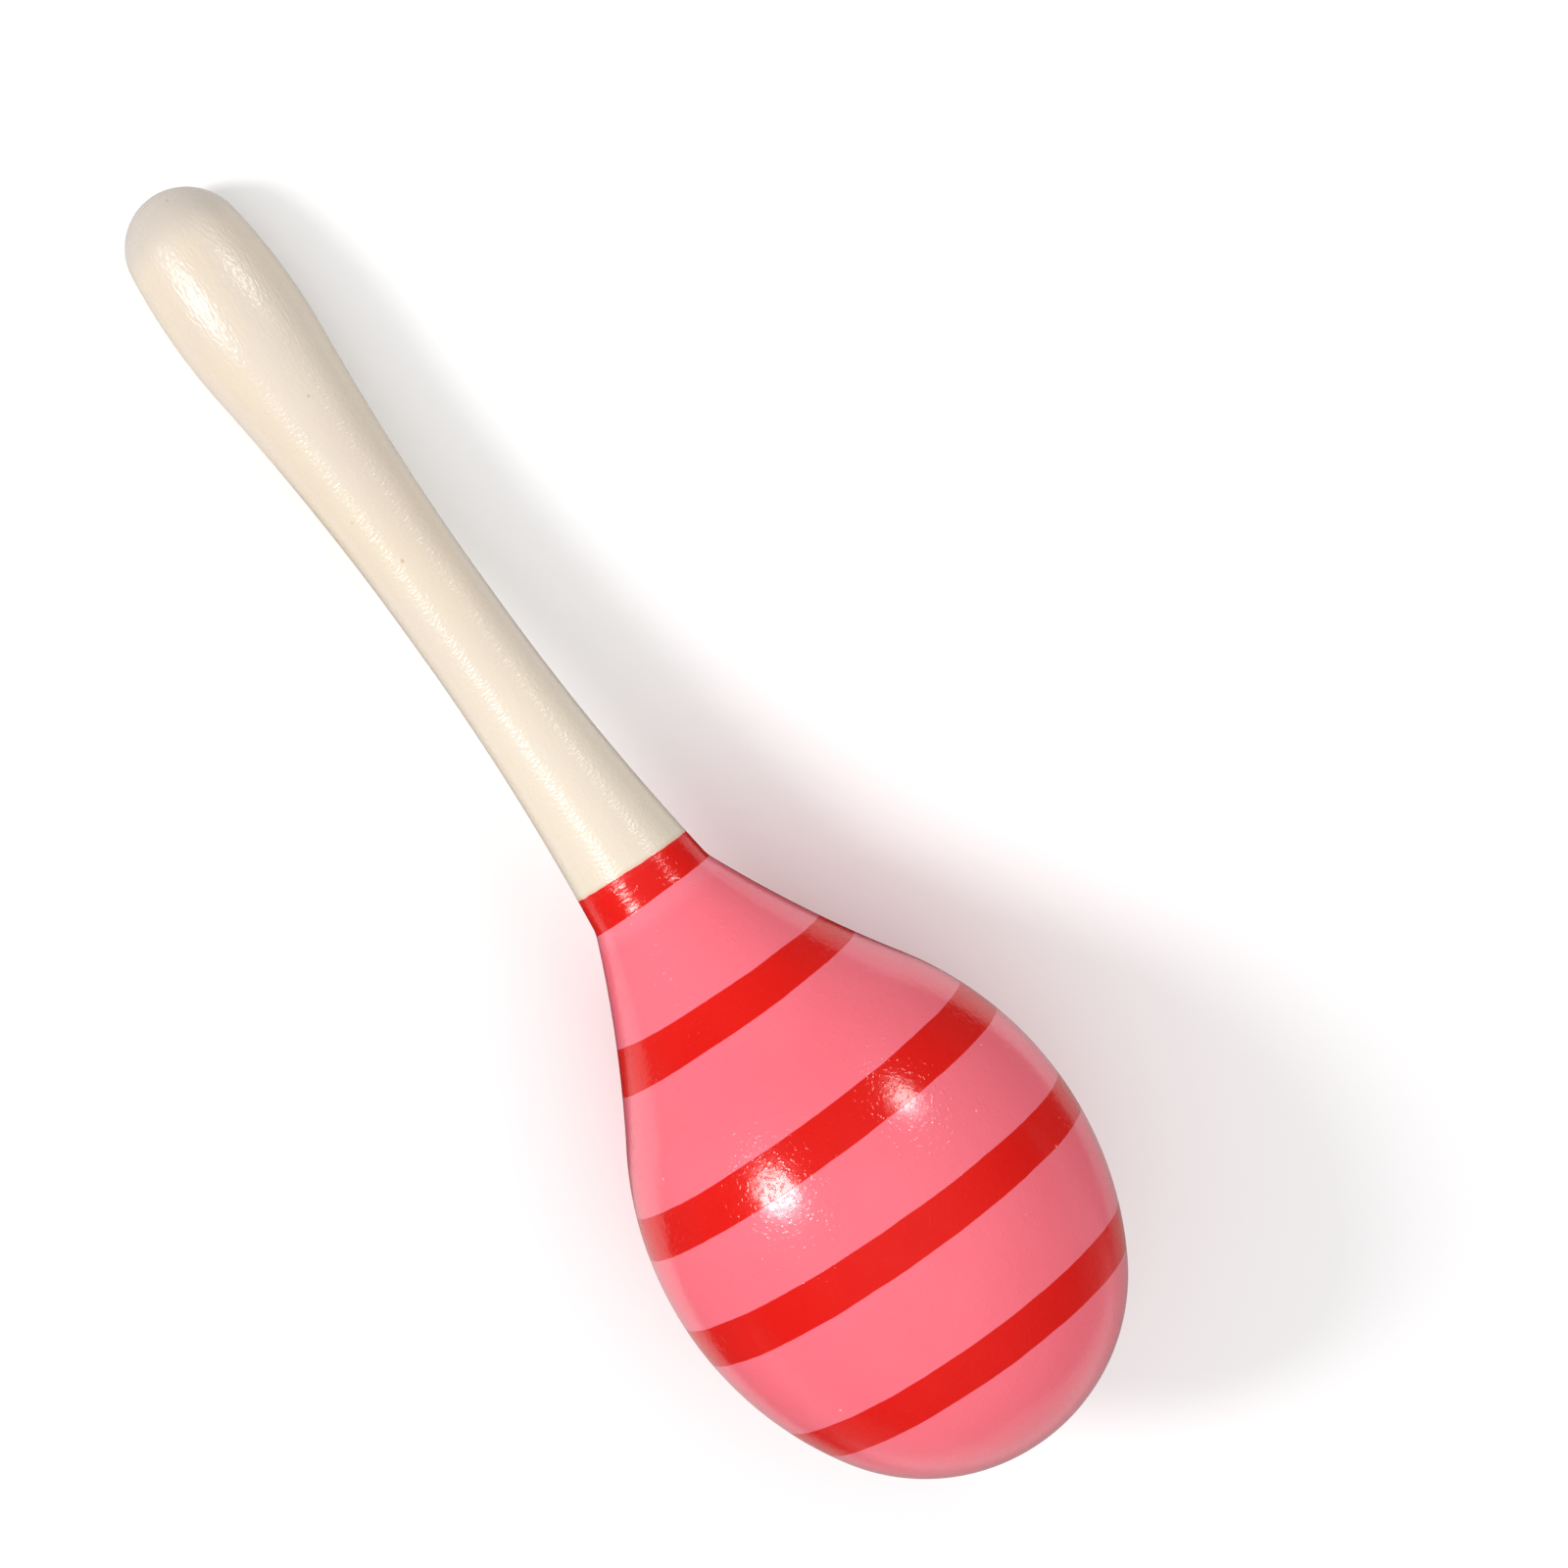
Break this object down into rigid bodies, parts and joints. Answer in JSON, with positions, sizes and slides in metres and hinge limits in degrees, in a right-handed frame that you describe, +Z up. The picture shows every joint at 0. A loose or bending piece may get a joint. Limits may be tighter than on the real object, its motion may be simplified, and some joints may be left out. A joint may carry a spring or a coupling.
{
  "type": "wooden maraca",
  "caption": "Turned wooden maraca lying on its side: a bare club handle tenoned into a hollow painted head made of two lapped halves, with loose steel shot sealed inside.",
  "frame": {"origin": "centre of the underside of the box round the maraca as it lies on a table", "axes": "+X from the handle's butt to the head's tip, +Z up from the table, +Y across; the maraca's own axis lies in the XZ plane and climbs 8.16 degrees towards the head"},
  "size_m": [0.1986, 0.0596, 0.06],
  "materials": {
    "lacquered_wood": "pale straight-grained wood under a thin satin clear lacquer",
    "painted_wood": "glossy pink enamel with red hand-painted rings",
    "steel_shot": "dull polished steel"
  },
  "bodies": {
    "maraca": {"handle": "lacquered_wood", "neck_half": "painted_wood", "dome_half": "painted_wood"},
    "ball_01": {"ball_01": "steel_shot"},
    "ball_02": {"ball_02": "steel_shot"},
    "ball_03": {"ball_03": "steel_shot"},
    "ball_04": {"ball_04": "steel_shot"},
    "ball_05": {"ball_05": "steel_shot"},
    "ball_06": {"ball_06": "steel_shot"},
    "ball_07": {"ball_07": "steel_shot"},
    "ball_08": {"ball_08": "steel_shot"},
    "ball_09": {"ball_09": "steel_shot"},
    "ball_10": {"ball_10": "steel_shot"},
    "ball_11": {"ball_11": "steel_shot"},
    "ball_12": {"ball_12": "steel_shot"},
    "ball_13": {"ball_13": "steel_shot"},
    "ball_14": {"ball_14": "steel_shot"},
    "ball_15": {"ball_15": "steel_shot"},
    "ball_16": {"ball_16": "steel_shot"},
    "ball_17": {"ball_17": "steel_shot"},
    "ball_18": {"ball_18": "steel_shot"},
    "ball_19": {"ball_19": "steel_shot"}
  },
  "joints": [
    {"name": "bed_swirl", "type": "hinge", "parent": "maraca", "child": "ball_10", "pos_m": [0.0561, 0, 0.0292], "axis": [0.9899, 0, 0.1419], "continuous": true},
    {"name": "ball_01_hop", "type": "slide", "parent": "ball_10", "child": "ball_01", "axis": [-0.1419, 0, 0.9899], "range_m": [0, 0.04066]},
    {"name": "ball_02_hop", "type": "slide", "parent": "ball_10", "child": "ball_02", "axis": [-0.1419, 0, 0.9899], "range_m": [0, 0.04178]},
    {"name": "ball_03_hop", "type": "slide", "parent": "ball_10", "child": "ball_03", "axis": [-0.1419, 0, 0.9899], "range_m": [0, 0.04066]},
    {"name": "ball_04_hop", "type": "slide", "parent": "ball_10", "child": "ball_04", "axis": [-0.1419, 0, 0.9899], "range_m": [0, 0.04193]},
    {"name": "ball_05_hop", "type": "slide", "parent": "ball_10", "child": "ball_05", "axis": [-0.1419, 0, 0.9899], "range_m": [0, 0.04407]},
    {"name": "ball_06_hop", "type": "slide", "parent": "ball_10", "child": "ball_06", "axis": [-0.1419, 0, 0.9899], "range_m": [0, 0.04407]},
    {"name": "ball_07_hop", "type": "slide", "parent": "ball_10", "child": "ball_07", "axis": [-0.1419, 0, 0.9899], "range_m": [0, 0.04193]},
    {"name": "ball_08_hop", "type": "slide", "parent": "ball_10", "child": "ball_08", "axis": [-0.1419, 0, 0.9899], "range_m": [0, 0.04176]},
    {"name": "ball_09_hop", "type": "slide", "parent": "ball_10", "child": "ball_09", "axis": [-0.1419, 0, 0.9899], "range_m": [0, 0.04495]},
    {"name": "ball_11_hop", "type": "slide", "parent": "ball_10", "child": "ball_11", "axis": [-0.1419, 0, 0.9899], "range_m": [0, 0.04495]},
    {"name": "ball_12_hop", "type": "slide", "parent": "ball_10", "child": "ball_12", "axis": [-0.1419, 0, 0.9899], "range_m": [0, 0.04176]},
    {"name": "ball_13_hop", "type": "slide", "parent": "ball_10", "child": "ball_13", "axis": [-0.1419, 0, 0.9899], "range_m": [0, 0.04446]},
    {"name": "ball_14_hop", "type": "slide", "parent": "ball_10", "child": "ball_14", "axis": [-0.1419, 0, 0.9899], "range_m": [0, 0.04648]},
    {"name": "ball_15_hop", "type": "slide", "parent": "ball_10", "child": "ball_15", "axis": [-0.1419, 0, 0.9899], "range_m": [0, 0.04648]},
    {"name": "ball_16_hop", "type": "slide", "parent": "ball_10", "child": "ball_16", "axis": [-0.1419, 0, 0.9899], "range_m": [0, 0.04446]},
    {"name": "ball_17_hop", "type": "slide", "parent": "ball_10", "child": "ball_17", "axis": [-0.1419, 0, 0.9899], "range_m": [0, 0.04565]},
    {"name": "ball_18_hop", "type": "slide", "parent": "ball_10", "child": "ball_18", "axis": [-0.1419, 0, 0.9899], "range_m": [0, 0.04665]},
    {"name": "ball_19_hop", "type": "slide", "parent": "ball_10", "child": "ball_19", "axis": [-0.1419, 0, 0.9899], "range_m": [0, 0.04565]}
  ]
}
